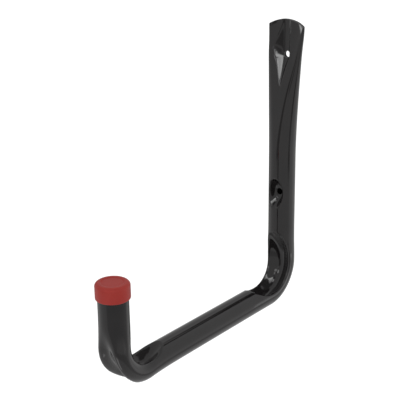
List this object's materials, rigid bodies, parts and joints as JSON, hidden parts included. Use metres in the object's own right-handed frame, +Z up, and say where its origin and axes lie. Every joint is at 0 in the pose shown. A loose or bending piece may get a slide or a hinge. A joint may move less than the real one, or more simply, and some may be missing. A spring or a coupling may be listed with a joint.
{
  "type": "storage hook",
  "caption": "Wall storage hook bent from one round steel tube, flattened and drilled at the top, with a push-on end cap on its upturned tip",
  "frame": {"origin": "on the back face of the flattened upper end, on its middle line, 13 mm above the upper screw hole", "axes": "+Y into the wall, square to the flattened back face; +Z up along the wall; +X sideways along the wall"},
  "size_m": [0.0378, 0.2565, 0.2691],
  "materials": {
    "gloss_black_paint": "gloss black paint over steel tube",
    "red_soft_plastic": "satin red soft plastic, moulded"
  },
  "bodies": {
    "root": {"hook_tube": "gloss_black_paint", "end_cap": "red_soft_plastic"}
  },
  "joints": []
}
